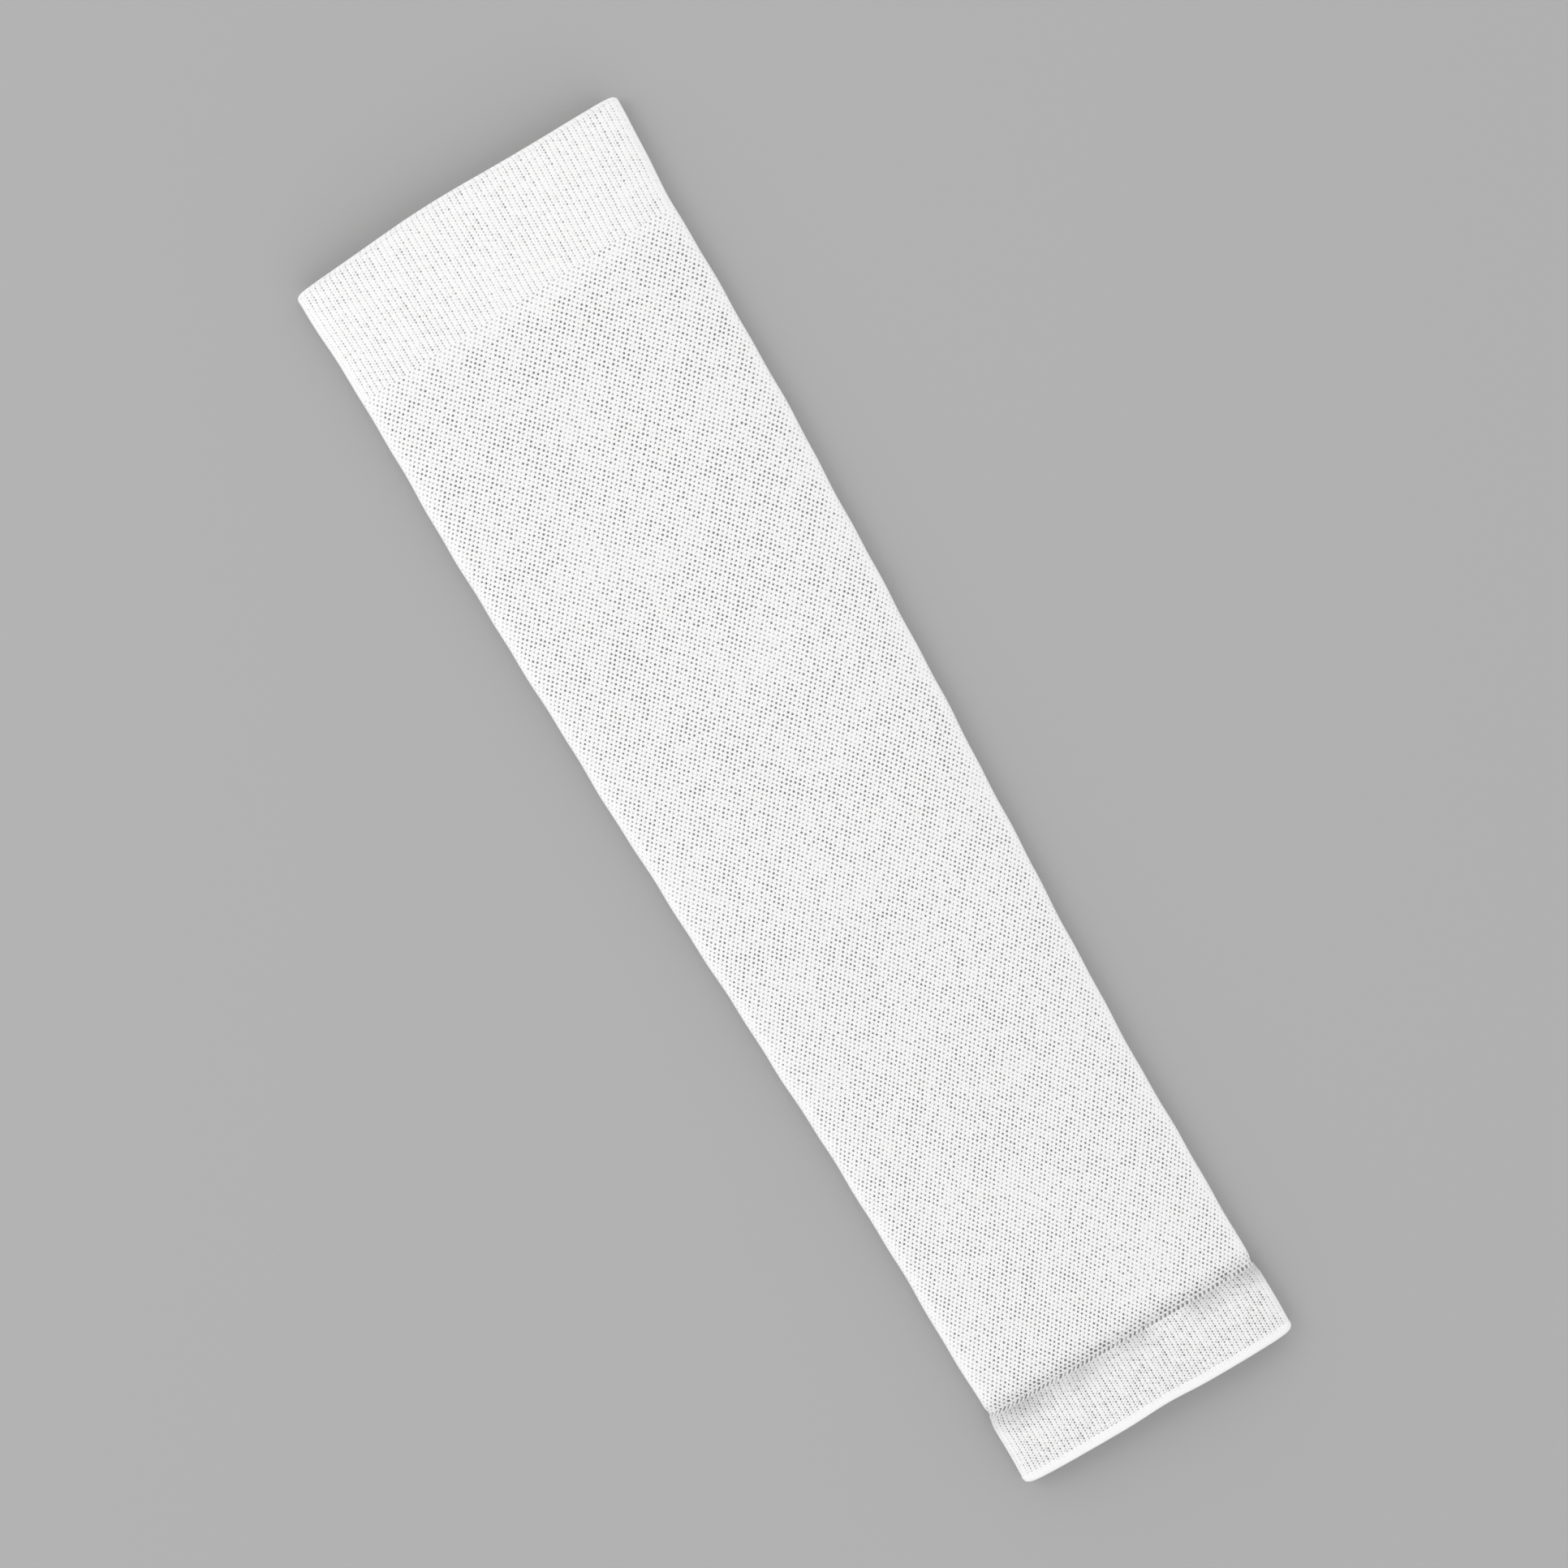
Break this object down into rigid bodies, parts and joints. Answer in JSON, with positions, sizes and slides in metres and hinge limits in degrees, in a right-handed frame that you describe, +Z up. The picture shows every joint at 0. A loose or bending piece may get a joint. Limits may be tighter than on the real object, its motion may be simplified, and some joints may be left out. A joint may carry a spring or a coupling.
{
  "type": "knitted arm sleeve",
  "caption": "Tapered tubular knit sleeve for the arm, lying flat, with a ribbed cuff at the upper end and a double ribbed cuff with a turned welt at the wrist.",
  "frame": {"origin": "on the surface that the flat sleeve lies on, under the middle of its box", "axes": "+Y along the sleeve towards its upper-arm end, +X across it, +Z up from the surface that it lies on"},
  "size_m": [0.1084, 0.4, 0.009],
  "materials": {
    "mesh_knit": "matte",
    "rib_knit": "matte",
    "cuff_knit": "matte",
    "lining_knit": "matte",
    "plain_knit": "matte",
    "seam_thread": "matte",
    "elastic_yarn": "satin"
  },
  "bodies": {
    "upper_arm": {"upper_arm_tube": "mesh_knit"},
    "upper_cuff": {"upper_edge": "plain_knit", "upper_cuff": "rib_knit", "upper_cuff_elastic": "elastic_yarn"},
    "forearm": {"forearm_tube": "mesh_knit", "linking_seam": "seam_thread"},
    "wrist_cuff": {"wrist_cuff": "cuff_knit", "wrist_cuff_lining": "lining_knit", "wrist_cuff_elastic": "elastic_yarn", "wrist_welt": "plain_knit"}
  },
  "joints": [
    {"name": "elbow_bend", "type": "hinge", "parent": "upper_arm", "child": "forearm", "pos_m": [0, 0.04, 0.0093], "axis": [-1, 0, 0], "range_deg": [0, 150]},
    {"name": "upper_cuff_fold", "type": "hinge", "parent": "upper_arm", "child": "upper_cuff", "pos_m": [0, 0.169, 0.0093], "axis": [1, 0, 0], "range_deg": [0, 175]},
    {"name": "wrist_cuff_fold", "type": "hinge", "parent": "forearm", "child": "wrist_cuff", "pos_m": [0, -0.1825, 0.0093], "axis": [-1, 0, 0], "range_deg": [0, 175]}
  ]
}
